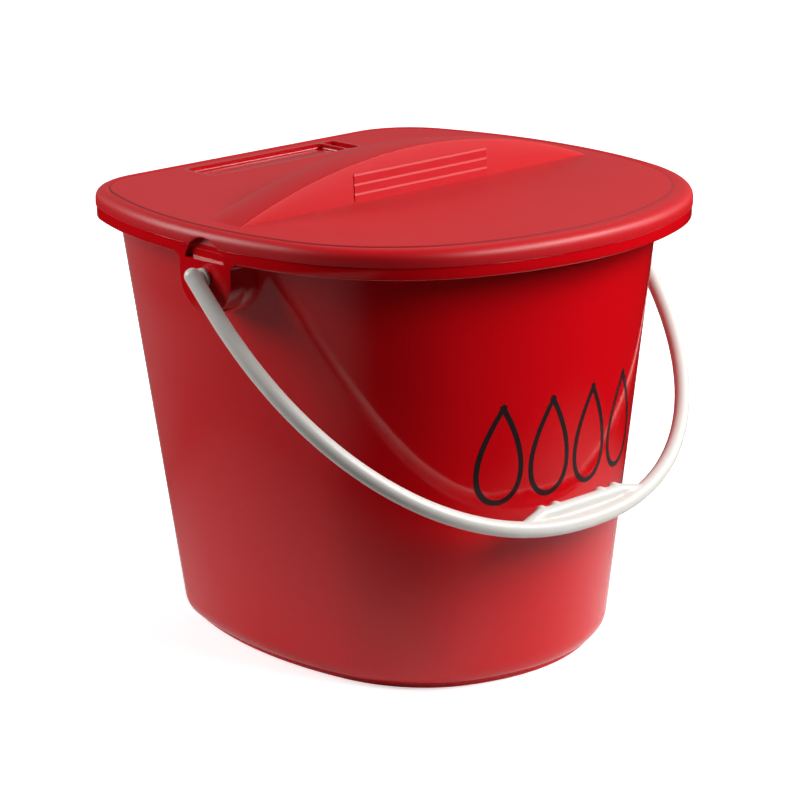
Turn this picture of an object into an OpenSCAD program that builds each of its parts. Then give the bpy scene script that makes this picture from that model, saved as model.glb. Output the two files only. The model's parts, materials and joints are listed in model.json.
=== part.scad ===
// Flat-backed fire bucket with a lift-off lid and a swinging bail handle.
// Three plastic mouldings: the bucket, the lid and the handle.
// +X is to the right of someone facing the bucket, -Y is its front, +Y its flat back.
// The origin is on the ground, below the middle of the rim's width and depth.

/* [Rim outline, seen from above] */
// Width over the rim
rim_w = 300; // [270:1:330]
// Radius of the two rear corners
corner_r = 47; // [38:1:56]
// How far round the rear corners turn, from the flat back, in degrees
corner_turn = 67.5; // [63:0.5:72]
// Radius of the two long sides
side_r = 252; // [225:1:280]
// Direction at the front end of the sides, in degrees from the flat back
side_turn = 104; // [98:1:110]
// Radius of the cheeks between the sides and the front
cheek_r = 110; // [95:1:125]
// Direction at the front end of the cheeks, in degrees from the flat back
cheek_turn = 157; // [150:1:162]

/* [Bucket] */
// Height of the rim's top face above the ground
rim_z = 242; // [215:1:270]
// How far the rim stands out from the wall
rim_overhang = 15.5; // [13:0.5:18]
// How far the wall's outline sits behind the rim's
wall_back = 4.5; // [0:0.5:8]
// Height of the turned-down band round the rim
band_h = 6.5; // [5:0.5:8]
// Thickness of that band
band_t = 2.5; // [2:0.1:3.2]
// Thickness of the flat ledge between the wall and the band
ledge_t = 2.5; // [2:0.1:3.5]
// Thickness of the wall
wall_t = 2.5; // [2:0.1:3.2]
// Width that the wall would have at the ground
base_w = 197; // [180:1:215]
// Depth that the wall would have at the ground
base_d = 212; // [195:1:230]
// How far the middle of the base sits behind the middle of the rim
base_back = 2.5; // [0:0.5:6]
// Thickness of the floor
floor_t = 3; // [2.4:0.1:4]
// Height of the rounding between the floor and the wall
round_h = 11; // [8:0.5:15]
// How far the foot ring stands in from the wall
foot_in = 6.5; // [5:0.5:8]
// Height of the foot ring
foot_h = 3; // [2.4:0.1:4.5]
// Thickness of the foot ring
foot_t = 4; // [3:0.1:5]

/* [Ears] */
// Radius of the ear round the pin, half of its width
ear_r = 18.5; // [17:0.5:20]
// How far the handle's pin lies below the rim's top face
pin_drop = 16.5; // [15:0.5:19]
// How far the pin lies behind the middle of the rim
pin_y = 4.5; // [0:0.5:9]
// Radius of the arch cut over each ear
arch_r = 14.5; // [13:0.5:16]
// How far the middle of the arch lies above the pin
arch_up = 6.5; // [5.5:0.5:7.5]
// How deep the arch is cut into the rim
arch_depth = 4.5; // [3.5:0.5:6]
// Depth of the pin's hole
bore_depth = 11; // [9:0.5:12]

/* [Lid] */
// Height of the lid's flat top above the rim
lid_h = 9; // [7.5:0.5:11]
// Gap between the closed lid and what it rests on
lid_gap = 0.3; // [0.2:0.1:0.5]
// How far the lid's edge stands out beyond the rim's band
lid_proud = 0.5; // [0.3:0.1:1]
// Thickness of the lid
lid_t = 2.5; // [2:0.1:3]
// Width of the rounded margin round the lid's flat
edge_w = 7; // [5.5:0.5:9]
// Height of that rounding
edge_h = 5; // [3.5:0.5:6]
// Depth of the rib that drops inside the bucket's mouth
rib_h = 8; // [5:0.5:12]
// Thickness of that rib
rib_t = 2; // [1.5:0.1:3]
// Side clearance between that rib and the bucket's wall
rib_gap = 1; // [0.6:0.1:2]

/* [Lid ridge] */
// Length of the raised ridge along its foot
ridge_len = 264; // [240:1:270]
// Height of the ridge's crest above the lid
ridge_h = 23.8; // [18:0.2:28]
// How far the foot of the steep front face lies in front of the middle of the rim
ridge_front = 4.5; // [0:0.5:8]
// How far the rear slope runs at the ridge's middle
slope_run = 75; // [65:0.5:80]
// How far the rear slope runs at the ridge's ends
slope_end = 24.5; // [18:0.5:30]
// How much the rear slope bulges, 1 for a straight one
slope_bulge = 2.3; // [1.2:0.1:3]
// How far the crest leans back from the foot of the front face
ridge_lean = 1.5; // [0.5:0.1:3]
// Width of the ribbed grip panel on the front face
grip_panel_w = 101; // [80:1:120]
// Height of that panel
grip_panel_h = 15.5; // [12:0.5:17]
// Number of steps on that panel
grip_steps = 3; // [2:1:5]
// How far the panel stands out from the front face
grip_panel_t = 0.6; // [0.4:0.1:1]

/* [Lid recess] */
// Length of the shallow pocket near the flat back
pocket_len = 103; // [90:1:110]
// Width of the pocket, from front to back
pocket_w = 23; // [19:1:26]
// Depth of the shallow pocket
pocket_deep = 3; // [2:0.5:4]
// Length of the deeper end pocket
end_len = 9; // [7:0.5:12]
// Depth of the deeper end pocket
end_deep = 6; // [4:0.5:6.5]
// Thickness of the rib between the two pockets
pocket_rib = 1.5; // [1:0.5:3]
// Thickness of the tray round the pockets
tray_t = 2; // [1.6:0.1:3]
// Distance from the back of the rim to the pocket
pocket_back = 14; // [12:0.5:18]

/* [Handle] */
// Radius of the bow's round section
rod_r = 4.4; // [3.8:0.1:4.8]
// How far the bow reaches from the pins
bow_reach = 188.5; // [188.5:0.5:198]
// Length of the straight leg at each end of the bow
leg_len = 14; // [8:1:20]
// Squareness of the bow, 2 for an ellipse
bow_power = 2.2; // [2.2:0.05:2.6]
// Gap between the bow and the side of the rim
bow_gap = 1; // [0.7:0.1:2]
// How far the resting handle leans out from straight down, in degrees
lean = 45.1; // [43:0.1:60]
// Radius of the pins
pin_r = 4; // [3:0.1:5]
// Running clearance of the pins in their holes
pin_clear = 0.08; // [0.03:0.01:0.1]
// Radius of the collar at the root of each pin
collar_r = 5.8; // [5.3:0.1:7]
// Running gap between the collar and the ear
collar_gap = 0.3; // [0.2:0.05:0.5]
// Length of the straight grip bar inside the bow
grip_len = 92; // [70:1:100]
// Radius of the grip bar
grip_r = 4; // [3.4:0.1:4.6]
// Distance between the grip bar and the middle of the bow
grip_in = 10; // [8.5:0.5:12]
// Thickness of the web between the bar and the bow
web_t = 3; // [2:0.2:4]
// How far the grip bar's four bumps stand out
nub_h = 2; // [1:0.2:3]

/* [Hidden] */
$fn = 48;
eps = 0.01;

// Colours
bucket_red = "#b40714";
lid_red = "#c4323a";
handle_white = "#efece6";

// Heights
lid_top = rim_z + lid_h;
base_top = foot_h + round_h;
band_z = rim_z - band_h;
pin_z = rim_z - pin_drop;

// Centres of the outline's arcs, which meet without a kink
half_w = rim_w/2;
side_cx = half_w - side_r;
corner_cx = side_cx + (side_r - corner_r)*sin(corner_turn);
cheek_cx = side_cx + (side_r - cheek_r)*sin(side_turn);
front_r = cheek_r + cheek_cx/sin(cheek_turn);
arcs_y = (corner_r - side_r)*cos(corner_turn) + (side_r - cheek_r)*cos(side_turn)
    + (cheek_r - front_r)*cos(cheek_turn);
half_d = (corner_r + front_r - arcs_y)/2;
corner_cy = half_d - corner_r;
side_cy = corner_cy + (corner_r - side_r)*cos(corner_turn);
cheek_cy = side_cy + (side_r - cheek_r)*cos(side_turn);
front_cy = front_r - half_d;

// Directions of the outline's points, from the flat back round to the middle of the front
STEPS = [9, 6, 8, 5];
turns = [
    for (k = [0:STEPS[0]]) corner_turn*k/STEPS[0],
    for (k = [1:STEPS[1]]) corner_turn + (side_turn - corner_turn)*k/STEPS[1],
    for (k = [1:STEPS[2]]) side_turn + (cheek_turn - side_turn)*k/STEPS[2],
    for (k = [1:STEPS[3]]) cheek_turn + (180 - cheek_turn)*k/STEPS[3]];
halves = len(turns);
count = 2*halves - 1;

// One point of the rim outline on the right, drawn in by a distance
function arc_of(t) = t <= corner_turn ? [corner_cx, corner_cy, corner_r]
    : t <= side_turn ? [side_cx, side_cy, side_r]
    : t <= cheek_turn ? [cheek_cx, cheek_cy, cheek_r] : [0, front_cy, front_r];
function right_pt(t, inset) = let (a = arc_of(t))
    [a[0] + (a[2] - inset)*sin(t), a[1] + (a[2] - inset)*cos(t)];

// Point i of the whole outline, and its outward direction
function turn_of(i) = i < halves ? turns[i] : turns[count - 1 - i];
function side_of(i) = i < halves ? 1 : -1;
function normal(i) = [side_of(i)*sin(turn_of(i)), cos(turn_of(i))];
function rim_pt(i, inset) = let (p = right_pt(turn_of(i), inset)) [side_of(i)*p[0], p[1]];

// Point i of the wall's outer face at a height, drawn in by a distance
base_sx = base_w/2/(half_w - rim_overhang);
base_sy = base_d/2/(half_d - rim_overhang);
function wall_pt(i, inset, z) = let (
    top = rim_pt(i, rim_overhang) + [0, wall_back],
    low = [base_sx*top[0], base_back + base_sy*(top[1] - wall_back)])
    low + (top - low)*z/band_z - inset*normal(i);

// A point of a section is [true, inset, z] on the rim's outline or [false, inset, z] on the wall's
function at(i, s) = concat(s[0] ? rim_pt(i, s[1]) : wall_pt(i, s[1], s[2]), [s[2]]);
function ring(s) = [for (i = [0:count - 1]) at(i, s)];
function lid_outline(inset) = [for (i = [0:count - 1]) rim_pt(i, inset)];

// Two triangles for each patch between rings j and k of n points
function patch(j, k, n) = [for (i = [0:n - 1]) let (m = (i + 1)%n)
    each [[j*n + i, j*n + m, k*n + m], [j*n + i, k*n + m, k*n + i]]];

// Closed band round the outline, whose section is listed outer side first, from the top down
module band(section) {
    rings = len(section);
    polyhedron(
        points = [for (s = section) each ring(s)],
        faces = [for (k = [0:rings - 1]) each patch((k + 1)%rings, k, count)],
        convexity = 6);
}

// Solid stack of outlines, listed from the bottom up
module stack(rings) {
    n = len(rings[0]);
    last = len(rings) - 1;
    polyhedron(
        points = [for (r = rings) each r],
        faces = concat([[for (i = [n - 1:-1:0]) i]],
            [for (k = [0:last - 1]) each patch(k, k + 1, n)],
            [[for (i = [0:n - 1]) last*n + i]]),
        convexity = 4);
}

// Rounded shape of the base: how far it stands in from the wall at a share of the rounding's height
function rounding(share) = foot_in*(1 - sqrt(1 - (1 - share)*(1 - share)));
ROUND_STEPS = 6;

// Solid that fills the wall's outer face, with its rings at the wall's own heights
module wall_core() {
    stack([for (z = [base_top, rim_z - ledge_t, rim_z]) ring([false, 0, z])]);
}

// Bucket
module foot_ring() {
    color(bucket_red)
    band([[false, foot_in, foot_h], [false, foot_in, 0],
        [false, foot_in + foot_t, 0], [false, foot_in + foot_t, foot_h]]);
}

module bucket_base() {
    floor_z = foot_h + floor_t;
    color(bucket_red)
    difference() {
        stack([for (k = [0:ROUND_STEPS])
            ring([false, rounding(k/ROUND_STEPS), foot_h + round_h*k/ROUND_STEPS])]);
        stack(concat(
            [for (k = [0:ROUND_STEPS - 1]) ring([false, wall_t + rounding(k/ROUND_STEPS),
                floor_z + (base_top - floor_z)*k/ROUND_STEPS])],
            [ring([false, wall_t, base_top]), ring([false, wall_t, base_top + eps])]));
    }
}

module bucket_wall() {
    color(bucket_red)
    band([[false, 0, rim_z], [false, 0, rim_z - ledge_t], [false, 0, base_top],
        [false, wall_t, base_top], [false, wall_t, rim_z]]);
}

module rim_ledge() {
    color(bucket_red)
    difference() {
        band([[true, lid_proud + band_t, rim_z], [true, lid_proud + band_t, rim_z - ledge_t],
            [false, 0, rim_z - ledge_t], [false, 0, rim_z]]);
        both_arches();
    }
}

module rim_band() {
    color(bucket_red)
    difference() {
        band([[true, lid_proud, rim_z], [true, lid_proud, band_z],
            [true, lid_proud + band_t, band_z], [true, lid_proud + band_t, rim_z]]);
        both_arches();
    }
}

// Arch over the left ear, as a round cutter that enters the rim from outside
module arch() {
    outside = 1;
    translate([-half_w - outside, pin_y, pin_z + arch_up])
    rotate([0, 90, 0])
    cylinder(r = arch_r, h = outside + lid_proud + arch_depth);
}

module both_arches() {
    arch();
    mirror([1, 0, 0]) arch();
}

// Left ear: a round-bottomed boss with the pin's hole, and a set-back top inside the arch
face_x = half_w - lid_proud;
ear_root = 12;
EAR_STEPS = 32;
module ear_profile() {
    top = band_z - pin_z;
    polygon(concat([[ear_r, top], [-ear_r, top]],
        [for (k = [0:EAR_STEPS]) let (a = 180*k/EAR_STEPS) -ear_r*[cos(a), sin(a)]]));
}

module ear_boss() {
    depth = rim_overhang + ear_root;
    translate([-face_x, pin_y, pin_z])
    rotate([90, 0, 90])
    linear_extrude(height = depth) ear_profile();
    translate([-face_x + arch_depth, pin_y - ear_r, band_z - eps])
    cube([depth - arch_depth, 2*ear_r, rim_z - ledge_t - band_z + eps]);
}

module ear_bore() {
    translate([-face_x - eps, pin_y, pin_z])
    rotate([0, 90, 0])
    cylinder(r = pin_r + pin_clear, h = bore_depth + eps);
}

module left_ear() {
    color(bucket_red)
    difference() {
        ear_boss();
        wall_core();
        ear_bore();
    }
}

module right_ear() {
    color(bucket_red)
    difference() {
        mirror([1, 0, 0]) ear_boss();
        wall_core();
        mirror([1, 0, 0]) ear_bore();
    }
}

// Lid
ridge_y = -ridge_front;
RIDGE_STEPS = 20;

// Height of the crest and run of the rear slope, at x, for a ridge of a length and height
function crest_z(x, length, height) = let (r = (length*length/4 + height*height)/(2*height))
    sqrt(max(0, r*r - x*x)) - (r - height);
function run(x, length, mid, end) = end + (mid - end)*pow(max(0, 1 - pow(abs(2*x/length), 1.25)), 0.85);

// Solid ridge with a steep front face and a long bulging rear slope, standing on z
RIDGE_LOWEST = 0.3;
SLOPE_STEPS = 6;
module ridge(length, height, y, mid, end, z) {
    n = SLOPE_STEPS + 2;
    stations = [for (k = [0:RIDGE_STEPS]) length*(k/RIDGE_STEPS - 0.5)];
    points = [for (x = stations)
        let (h = max(RIDGE_LOWEST, crest_z(x, length, height)),
            crest_y = y + ridge_lean*h/height,
            foot_y = y + run(x, length, mid, end))
        each concat([[x, y, z]],
            [for (k = [0:SLOPE_STEPS]) let (u = k/SLOPE_STEPS)
                [x, crest_y + (foot_y - crest_y)*u, z + h*(1 - pow(u, slope_bulge))]])];
    faces = concat([[for (i = [n - 1:-1:0]) i]],
        [for (k = [0:RIDGE_STEPS - 1]) each patch(k, k + 1, n)],
        [[for (i = [0:n - 1]) RIDGE_STEPS*n + i]]);
    polyhedron(points = points, faces = faces, convexity = 4);
}

// Hollow below the ridge, smaller by the lid's thickness measured square to the ridge's faces,
// and its outline where it passes through the lid's flat
hollow_y = ridge_y + lid_t;
inner_len = ridge_len - 6*lid_t;
inner_h = ridge_h - 1.6*lid_t;
inner_mid = slope_run - 4*lid_t;
inner_end = slope_end - 4*lid_t;
module ridge_hollow(z) {
    ridge(inner_len, inner_h, hollow_y, inner_mid, inner_end, z);
}
hollow_outline = concat(
    [[-inner_len/2, hollow_y], [inner_len/2, hollow_y]],
    [for (k = [RIDGE_STEPS:-1:0]) let (x = inner_len*(k/RIDGE_STEPS - 0.5))
        [x, hollow_y + run(x, inner_len, inner_mid, inner_end)]]);

module lid_ridge() {
    color(lid_red)
    difference() {
        ridge(ridge_len, ridge_h, ridge_y, slope_run, slope_end, lid_top);
        ridge_hollow(lid_top - eps);
    }
}

// Ribbed panel on the steep front face: overlapping steps like clapboards
module ridge_grip_panel() {
    step_h = grip_panel_h/grip_steps;
    color(lid_red)
    translate([-grip_panel_w/2, ridge_y, lid_top])
    rotate([90, 0, 90])
    linear_extrude(height = grip_panel_w)
    polygon(concat([[0, 0]],
        [for (k = [0:grip_steps - 1]) each [
            [lean_at(k*step_h) - grip_panel_t, k*step_h],
            [lean_at((k + 1)*step_h) - grip_panel_t/3, (k + 1)*step_h]]],
        [[lean_at(grip_panel_h), grip_panel_h]]));
}
function lean_at(h) = ridge_lean*h/ridge_h;

// Outline of a rectangle with round corners
CORNER_STEPS = 6;
function round_box(x0, x1, y0, y1, r) = [for (q = [0:3]) for (k = [0:CORNER_STEPS])
    let (a = 90*q + 90*k/CORNER_STEPS,
        cx = q == 0 || q == 3 ? x1 - r : x0 + r,
        cy = q < 2 ? y1 - r : y0 + r)
    [cx + r*cos(a), cy + r*sin(a)]];

// Pockets near the flat back: a long shallow one and a deeper one at its right end
pockets_w = pocket_len + pocket_rib + end_len;
pocket_x0 = -pockets_w/2;
pocket_y1 = half_d - pocket_back;
pocket_y0 = pocket_y1 - pocket_w;
pocket_round = 4;
module tray_outline(grow) {
    polygon(round_box(pocket_x0 - grow, pocket_x0 + pockets_w + grow,
        pocket_y0 - grow, pocket_y1 + grow, pocket_round + grow));
}

// Block that holds both pockets, before they are cut
end_x0 = pocket_x0 + pocket_len + pocket_rib;
module tray_block() {
    translate([0, 0, lid_top - pocket_deep - tray_t])
    linear_extrude(height = pocket_deep + tray_t) tray_outline(tray_t);
    intersection() {
        translate([0, 0, lid_top - end_deep - tray_t])
        linear_extrude(height = end_deep + tray_t) tray_outline(tray_t);
        translate([end_x0 - tray_t, 0, lid_top - end_deep - tray_t])
        cube([end_len + 2*tray_t, half_d, end_deep + tray_t]);
    }
}

module lid_recess() {
    color(lid_red)
    difference() {
        tray_block();
        translate([0, 0, lid_top - pocket_deep])
        linear_extrude(height = pocket_deep + eps)
        polygon(round_box(pocket_x0, pocket_x0 + pocket_len, pocket_y0, pocket_y1, pocket_round));
        translate([0, 0, lid_top - end_deep])
        linear_extrude(height = end_deep + eps)
        polygon(round_box(end_x0, end_x0 + end_len, pocket_y0, pocket_y1, pocket_round));
    }
}

module lid_panel() {
    color(lid_red)
    translate([0, 0, lid_top - lid_t])
    linear_extrude(height = lid_t)
    difference() {
        polygon(lid_outline(edge_w));
        polygon(hollow_outline);
        tray_outline(tray_t);
    }
}

// Rounded margin and skirt, which rests on the rim's band
EDGE_STEPS = 5;
module lid_skirt() {
    low = rim_z + lid_gap;
    color(lid_red)
    difference() {
        band(concat(
            [for (k = [EDGE_STEPS:-1:0]) let (a = 90*k/EDGE_STEPS)
                [true, edge_w*(1 - cos(a)), lid_top - edge_h*(1 - sin(a))]],
            [[true, 0, low], [true, band_t, low], [true, band_t, lid_top - edge_h],
                [true, edge_w, lid_top - lid_t]]));
        both_arches();
    }
}

module locating_rib() {
    outer = wall_t + rib_gap;
    color(lid_red)
    difference() {
        band([[false, outer, lid_top - lid_t], [false, outer, rim_z - rib_h],
            [false, outer + rib_t, rim_z - rib_h], [false, outer + rib_t, lid_top - lid_t]]);
        tray_block();
    }
}

// Handle, drawn hanging straight down in the XZ plane below its pins, then leant forward.
// Its rod is one piece of plastic, divided here into a leg and a bend on each side and the bow
bow_x = half_w + bow_gap + rod_r;
module leant() {
    translate([0, pin_y, pin_z]) rotate([-lean, 0, 0]) children();
}

// Middle line of the bow: straight legs and a squared half ellipse
BOW_STEPS = 48;
function bow_pt(t) = let (c = cos(t), s = sin(t))
    [-bow_x*sign(c)*pow(abs(c), 2/bow_power), -leg_len - (bow_reach - leg_len)*pow(abs(s), 2/bow_power)];
bow_line = concat([[-bow_x, 0]], [for (k = [0:BOW_STEPS]) bow_pt(180*k/BOW_STEPS)], [[bow_x, 0]]);
bow_last = len(bow_line) - 1;
function unit(v) = v/norm(v);
function bow_dir(k) = unit(bow_line[min(k + 1, bow_last)] - bow_line[max(k - 1, 0)]);
ROD_SIDES = 14;
LEG_END = 8;
BEND_END = 13;

// Stretch of the rod between two points of its middle line
module rod(first, last) {
    color(handle_white)
    leant()
    stack([for (k = [first:last]) let (p = bow_line[k], d = bow_dir(k))
        [for (i = [0:ROD_SIDES - 1]) let (a = 360*i/ROD_SIDES)
            [p[0] - d[1]*rod_r*cos(a), rod_r*sin(a), p[1] + d[0]*rod_r*cos(a)]]]);
}

module left_leg() { rod(0, LEG_END); }
module left_bend() { rod(LEG_END, BEND_END); }
module handle_bow() { rod(BEND_END, bow_last - BEND_END); }
module right_bend() { rod(bow_last - BEND_END, bow_last - LEG_END); }
module right_leg() { rod(bow_last - LEG_END, bow_last); }

// Places of the bar's four bumps, as shares of its length
NUB_PLACES = [-0.31, -0.19, 0.19, 0.31];

module handle_grip() {
    bar_z = -bow_reach + grip_in;
    color(handle_white)
    leant() {
        translate([-grip_len/2, 0, bar_z])
        rotate([0, 90, 0])
        cylinder(r = grip_r, h = grip_len);
        for (side = [-1, 1])
            translate([side*grip_len/2, 0, bar_z]) sphere(r = grip_r);
        translate([-grip_len/2, -web_t/2, bar_z - grip_in/2])
        cube([grip_len, web_t, grip_in/2]);
        for (x = NUB_PLACES*grip_len)
            translate([x, web_t/2, bar_z + grip_r])
            rotate([90, 0, 0])
            cylinder(r = nub_h, h = web_t);
    }
}

// Pin with its collar, from inside the bow's end to near the bottom of its hole
module pin() {
    end_room = 1;
    tip_x = face_x - bore_depth + end_room;
    color(handle_white) {
        translate([-bow_x, pin_y, pin_z])
        rotate([0, 90, 0])
        cylinder(r = pin_r, h = bow_x - tip_x);
        translate([-bow_x, pin_y, pin_z])
        rotate([0, 90, 0])
        cylinder(r = collar_r, h = bow_x - face_x - collar_gap);
    }
}

module left_pin() { pin(); }
module right_pin() { mirror([1, 0, 0]) pin(); }

foot_ring();
bucket_base();
bucket_wall();
rim_ledge();
rim_band();
left_ear();
right_ear();
lid_panel();
lid_skirt();
lid_ridge();
ridge_grip_panel();
lid_recess();
locating_rib();
handle_bow();
left_bend();
right_bend();
left_leg();
right_leg();
handle_grip();
left_pin();
right_pin();
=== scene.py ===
"""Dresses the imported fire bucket: a glossy moulded bucket, a satin lid and a white bail handle."""

import json
import math

import bmesh
import bpy
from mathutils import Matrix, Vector

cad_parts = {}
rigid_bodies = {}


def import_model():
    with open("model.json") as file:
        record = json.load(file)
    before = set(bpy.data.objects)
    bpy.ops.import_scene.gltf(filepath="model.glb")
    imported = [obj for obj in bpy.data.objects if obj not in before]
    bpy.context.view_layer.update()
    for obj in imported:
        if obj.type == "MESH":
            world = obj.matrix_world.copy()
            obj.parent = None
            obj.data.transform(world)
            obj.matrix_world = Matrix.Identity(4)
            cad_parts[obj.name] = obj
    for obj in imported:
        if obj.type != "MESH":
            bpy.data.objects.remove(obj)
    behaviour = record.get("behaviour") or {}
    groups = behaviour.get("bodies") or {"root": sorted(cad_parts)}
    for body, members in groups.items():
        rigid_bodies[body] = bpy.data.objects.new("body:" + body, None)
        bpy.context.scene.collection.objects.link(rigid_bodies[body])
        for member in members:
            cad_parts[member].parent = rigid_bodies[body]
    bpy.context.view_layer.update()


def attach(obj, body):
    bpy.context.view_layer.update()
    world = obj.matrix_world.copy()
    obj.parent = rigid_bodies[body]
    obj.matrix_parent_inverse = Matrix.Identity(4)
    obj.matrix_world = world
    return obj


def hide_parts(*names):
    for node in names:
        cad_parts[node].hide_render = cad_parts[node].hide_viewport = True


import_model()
bpy.ops.object.select_all(action="DESELECT")
MM = 0.001


# ---- Bucket, with its rolled rim, wall, base and foot ring ----
# One injection moulding in red polypropylene. The wall is D-shaped, flat at the back, and drafts
# inwards to a rounded base on a low foot ring.

# The outline seen from above is made of arcs that meet without a kink, from the flat back round
# to the front.
HALF_W = 150 * MM
CORNER_R, SIDE_R, CHEEK_R = 47 * MM, 252 * MM, 110 * MM
CORNER_TURN, SIDE_TURN, CHEEK_TURN = (math.radians(a) for a in (67.5, 104, 157))
side_x = HALF_W - SIDE_R
corner_x = side_x + (SIDE_R - CORNER_R) * math.sin(CORNER_TURN)
cheek_x = side_x + (SIDE_R - CHEEK_R) * math.sin(SIDE_TURN)
front_r = CHEEK_R + cheek_x / math.sin(CHEEK_TURN)
arcs_y = ((CORNER_R - SIDE_R) * math.cos(CORNER_TURN) + (SIDE_R - CHEEK_R) * math.cos(SIDE_TURN)
          + (CHEEK_R - front_r) * math.cos(CHEEK_TURN))
HALF_D = (CORNER_R + front_r - arcs_y) / 2
corner_y = HALF_D - CORNER_R
side_y = corner_y + (CORNER_R - SIDE_R) * math.cos(CORNER_TURN)
cheek_y = side_y + (SIDE_R - CHEEK_R) * math.cos(SIDE_TURN)
front_y = front_r - HALF_D
ARCS = [
    (corner_x, corner_y, CORNER_TURN, 22),
    (side_x, side_y, SIDE_TURN - CORNER_TURN, 18),
    (cheek_x, cheek_y, CHEEK_TURN - SIDE_TURN, 26),
    (0, front_y, math.pi - CHEEK_TURN, 14),
]
NEAR = 0.01 * MM          # places this close together count as one


def pick(test, kind="VERT"):
    """Selects the vertices, edges or faces of the piece in edit mode that pass the test."""
    mesh = bmesh.from_edit_mesh(bpy.context.object.data)
    bpy.ops.mesh.select_mode(type=kind)
    bpy.ops.mesh.select_all(action="DESELECT")
    for part in {"VERT": mesh.verts, "EDGE": mesh.edges, "FACE": mesh.faces}[kind]:
        if test(part):
            part.select_set(True)
    mesh.select_flush_mode()
    bmesh.update_edit_mesh(bpy.context.object.data)


def start_piece(name, place):
    """Starts a piece in edit mode from a single vertex, to be extruded and spun."""
    bpy.ops.mesh.primitive_plane_add(size=MM, location=place)
    piece = bpy.context.object
    piece.name = name
    bpy.ops.object.transform_apply(location=True)
    bpy.ops.object.mode_set(mode="EDIT")
    bpy.ops.mesh.select_mode(type="VERT")
    bpy.ops.mesh.merge(type="CENTER")
    return piece


def add_point(place):
    """Adds a single vertex to the piece in edit mode, with nothing else selected."""
    bpy.ops.mesh.select_all(action="DESELECT")
    bpy.ops.mesh.primitive_plane_add(size=MM, location=place)
    bpy.ops.mesh.merge(type="CENTER")


def extrude(x, y, z):
    bpy.ops.mesh.extrude_region_move(TRANSFORM_OT_translate={"value": (x, y, z)})


def along_outline(z):
    """Carries what is selected at the middle of the back round the right half of the outline."""
    extrude(corner_x, 0, 0)
    for x, y, turn, steps in ARCS:
        bpy.ops.mesh.spin(steps=steps, angle=turn, center=(x, y, z), axis=(0, 0, 1))


def modify(piece, kind, **settings):
    """Adds a modifier with its settings and applies it."""
    modifier = piece.modifiers.new(kind.title(), kind)
    for key, value in settings.items():
        setattr(modifier, key, value)
    bpy.ops.object.select_all(action="DESELECT")
    piece.select_set(True)
    bpy.context.view_layer.objects.active = piece
    bpy.ops.object.modifier_apply(modifier=modifier.name)


def close_up(piece, angle=32, mirrored=True):
    """Mirrors a right half, turns its faces outwards and smooths all but its sharp edges."""
    bpy.ops.object.mode_set(mode="OBJECT")
    if mirrored:
        modify(piece, "MIRROR", use_axis=(True, False, False), use_mirror_merge=True,
               merge_threshold=0.02 * MM)
    bpy.ops.object.mode_set(mode="EDIT")
    bpy.ops.mesh.select_all(action="SELECT")
    bpy.ops.mesh.remove_doubles(threshold=0.005 * MM)
    bpy.ops.mesh.normals_make_consistent(inside=False)
    bpy.ops.object.mode_set(mode="OBJECT")
    bpy.ops.object.shade_smooth_by_angle(angle=math.radians(angle))


def linear(hex_colour):
    """An sRGB hex colour as the linear values that Blender takes."""
    parts = [int(hex_colour[i:i + 2], 16) / 255 for i in (1, 3, 5)]
    return [p / 12.92 if p <= 0.04045 else ((p + 0.055) / 1.055) ** 2.4 for p in parts] + [1.0]


def material(name, colour, roughness, **values):
    """A new material with its constant values set on the shader's own sockets."""
    made = bpy.data.materials.new(name)
    made.use_nodes = True
    shader = made.node_tree.nodes["Principled BSDF"]
    shader.inputs["Base Color"].default_value = linear(colour)
    shader.inputs["Roughness"].default_value = roughness
    for key, value in values.items():
        shader.inputs[key.replace("_", " ")].default_value = value
    return made


def add_node(made, kind, settings, links):
    """Adds a node. Settings are its properties or sockets, and links join other nodes to it."""
    node = made.node_tree.nodes.new(kind)
    for key, value in settings.items():
        if isinstance(key, str) and hasattr(node, key):
            setattr(node, key, value)
        else:
            node.inputs[key].default_value = value
    for socket, source in links.items():
        made.node_tree.links.new(source, node.inputs[socket])
    return node


def skin(made, grain, height, gloss):
    """Gives a moulded surface its grain, of a size and height in metres, and an uneven gloss."""
    place = add_node(made, "ShaderNodeTexCoord", {}, {})
    noise = add_node(made, "ShaderNodeTexNoise", {"Scale": 1 / grain, "Detail": 3},
                     {"Vector": place.outputs["Object"]})
    bump = add_node(made, "ShaderNodeBump", {"Strength": 1, "Distance": height},
                    {"Height": noise.outputs["Fac"]})
    # Patches about 40 mm across, where the mould cooled the plastic at another pace
    patches = add_node(made, "ShaderNodeTexNoise", {"Scale": 25, "Detail": 2},
                       {"Vector": place.outputs["Object"]})
    uneven = add_node(made, "ShaderNodeMapRange", {"To Min": gloss[0], "To Max": gloss[1]},
                      {"Value": patches.outputs["Fac"]})
    shader = made.node_tree.nodes["Principled BSDF"]
    made.node_tree.links.new(bump.outputs["Normal"], shader.inputs["Normal"])
    made.node_tree.links.new(uneven.outputs["Result"], shader.inputs["Roughness"])
    return made


def coat(piece, look):
    """Gives a piece one material all over."""
    piece.data.materials.clear()
    piece.data.materials.append(look)


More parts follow.
